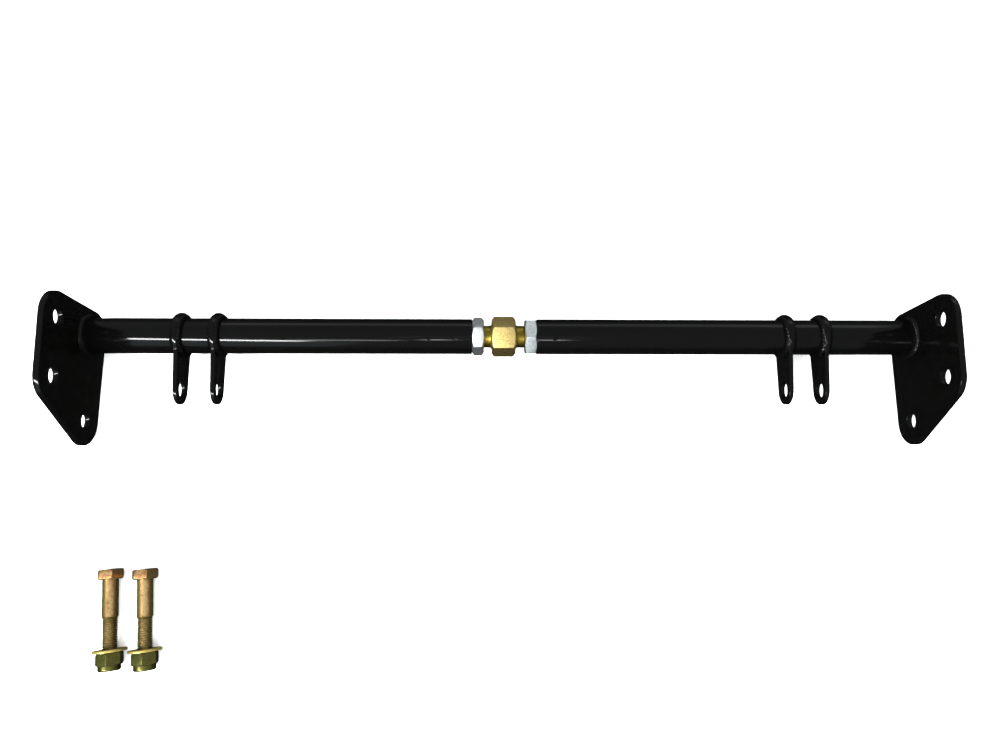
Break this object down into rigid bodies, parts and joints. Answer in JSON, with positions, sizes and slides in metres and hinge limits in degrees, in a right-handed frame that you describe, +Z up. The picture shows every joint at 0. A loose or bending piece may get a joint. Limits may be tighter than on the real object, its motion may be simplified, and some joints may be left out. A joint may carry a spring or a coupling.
{
  "type": "adjustable cross bar",
  "caption": "Round cross bar with a screw adjuster in the middle, clevis lugs and bolt-on end plates, with loose clevis bolts.",
  "frame": {"origin": "the tubes' axis at the middle of the adjuster's hexagon", "axes": "+X along the bar to the end of the right half, +Y across the bar away from the lugs, +Z up from the floor that the end plates' far edges lie on"},
  "size_m": [0.9048, 0.3781, 0.1227],
  "materials": {
    "black_powder_coat": "gloss powder coat",
    "zinc": "clear zinc plate",
    "yellow_zinc": "yellow zinc plate",
    "dichromate_bolt": "iridescent yellow zinc plate",
    "nylon": "natural nylon"
  },
  "bodies": {
    "left_half": {"left_tube": "black_powder_coat", "left_threaded_bung": "zinc", "left_plug_welds": "black_powder_coat", "left_end_plate": "black_powder_coat", "left_plate_weld": "black_powder_coat", "left_outer_lug": "black_powder_coat", "left_outer_lug_welds": "black_powder_coat", "left_inner_lug": "black_powder_coat", "left_inner_lug_welds": "black_powder_coat"},
    "left_jam_nut": {"left_jam_nut": "zinc"},
    "adjuster": {"adjuster": "yellow_zinc"},
    "right_half": {"right_tube": "black_powder_coat", "right_threaded_bung": "zinc", "right_plug_welds": "black_powder_coat", "right_end_plate": "black_powder_coat", "right_plate_weld": "black_powder_coat", "right_outer_lug": "black_powder_coat", "right_outer_lug_welds": "black_powder_coat", "right_inner_lug": "black_powder_coat", "right_inner_lug_welds": "black_powder_coat"},
    "right_jam_nut": {"right_jam_nut": "zinc"},
    "left_bolt": {"left_bolt": "dichromate_bolt"},
    "left_washer": {"left_washer": "yellow_zinc"},
    "left_lock_nut": {"left_lock_nut": "dichromate_bolt", "left_nylon_ring": "nylon"},
    "right_bolt": {"right_bolt": "dichromate_bolt"},
    "right_washer": {"right_washer": "yellow_zinc"},
    "right_lock_nut": {"right_lock_nut": "dichromate_bolt", "right_nylon_ring": "nylon"}
  },
  "joints": [
    {"name": "bar_length", "type": "slide", "parent": "left_half", "child": "right_half", "axis": [1, 0, 0], "range_m": [0, 0.05]},
    {"name": "left_nut_travel", "type": "slide", "parent": "left_half", "child": "left_jam_nut", "axis": [1, 0, 0], "range_m": [0, 0.025]},
    {"name": "adjuster_turn", "type": "hinge", "parent": "left_jam_nut", "child": "adjuster", "pos_m": [0, 0, 0], "axis": [1, 0, 0], "range_deg": [-3000, 0]},
    {"name": "right_nut_travel", "type": "slide", "parent": "right_half", "child": "right_jam_nut", "axis": [-1, 0, 0], "range_m": [0, 0.025]},
    {"name": "left_bolt_lift", "type": "slide", "parent": "left_half", "child": "left_bolt", "axis": [0, 0, 1], "range_m": [0, 0.06]},
    {"name": "left_washer_slide", "type": "slide", "parent": "left_bolt", "child": "left_washer", "axis": [-0.1009, 0.9931, -0.0597], "range_m": [0, 0.03]},
    {"name": "left_lock_nut_turn", "type": "hinge", "parent": "left_washer", "child": "left_lock_nut", "pos_m": [-0.40328, -0.33495, -0.01718], "axis": [-0.1009, 0.9931, -0.0597], "range_deg": [0, 4700]},
    {"name": "right_bolt_lift", "type": "slide", "parent": "left_half", "child": "right_bolt", "axis": [0, 0, 1], "range_m": [0, 0.06]},
    {"name": "right_washer_slide", "type": "slide", "parent": "right_bolt", "child": "right_washer", "axis": [-0.1009, 0.9931, -0.0597], "range_m": [0, 0.03]},
    {"name": "right_lock_nut_turn", "type": "hinge", "parent": "right_washer", "child": "right_lock_nut", "pos_m": [-0.36758, -0.33495, -0.01718], "axis": [-0.1009, 0.9931, -0.0597], "range_deg": [0, 4700]}
  ],
  "couplings": [
    {"joint": "left_nut_travel", "follows": "bar_length", "ratio": 0.5},
    {"joint": "adjuster_turn", "follows": "bar_length", "rad_per_m": -1047.2},
    {"joint": "right_nut_travel", "follows": "bar_length", "ratio": 0.5},
    {"joint": "left_lock_nut_turn", "follows": "left_washer_slide", "rad_per_m": 2721.2},
    {"joint": "right_lock_nut_turn", "follows": "right_washer_slide", "rad_per_m": 2721.2}
  ]
}
